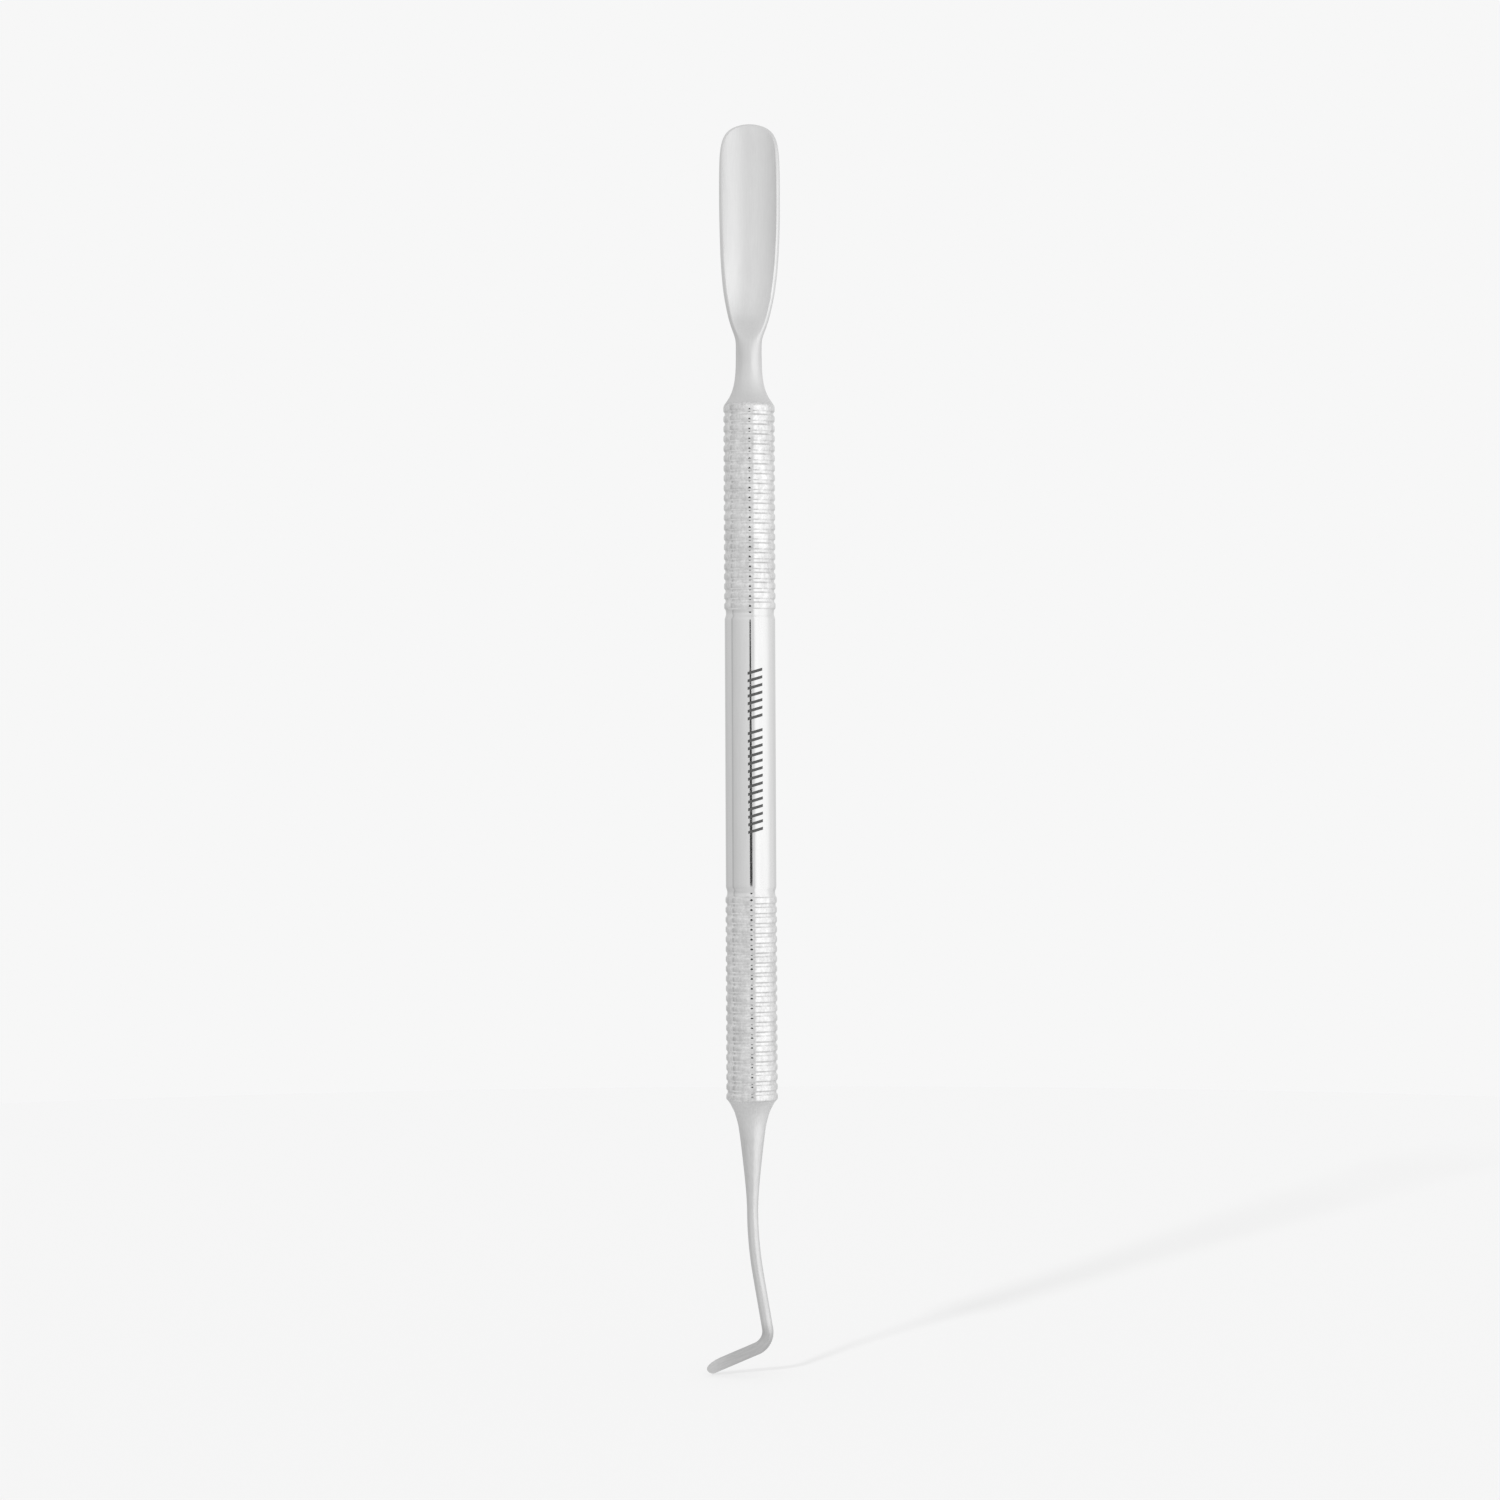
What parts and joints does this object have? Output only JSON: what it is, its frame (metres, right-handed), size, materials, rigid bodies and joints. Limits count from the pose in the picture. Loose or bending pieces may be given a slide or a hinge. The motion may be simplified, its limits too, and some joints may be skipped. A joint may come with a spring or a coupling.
{
  "type": "cuticle pusher",
  "caption": "Slim double-ended manicure tool: ribbed round handle, rounded scoop at the top, thin shaft bent into a small flat blade at the bottom.",
  "frame": {"origin": "on the handle's axis, half way along its smooth grip", "axes": "+Z along the handle's axis towards the rounded scoop, -Y the way the scoop's hollow side faces, -X the way the bent blade points"},
  "size_m": [0.009, 0.006, 0.1456],
  "materials": {
    "polished_steel": "polished stainless steel",
    "satin_steel": "satin stainless steel",
    "silver_braze": "satin"
  },
  "bodies": {
    "root": {"handle_tube": "polished_steel", "rounded_pusher": "satin_steel", "bent_blade": "satin_steel", "upper_braze_ring": "silver_braze", "lower_braze_ring": "silver_braze"}
  },
  "joints": []
}
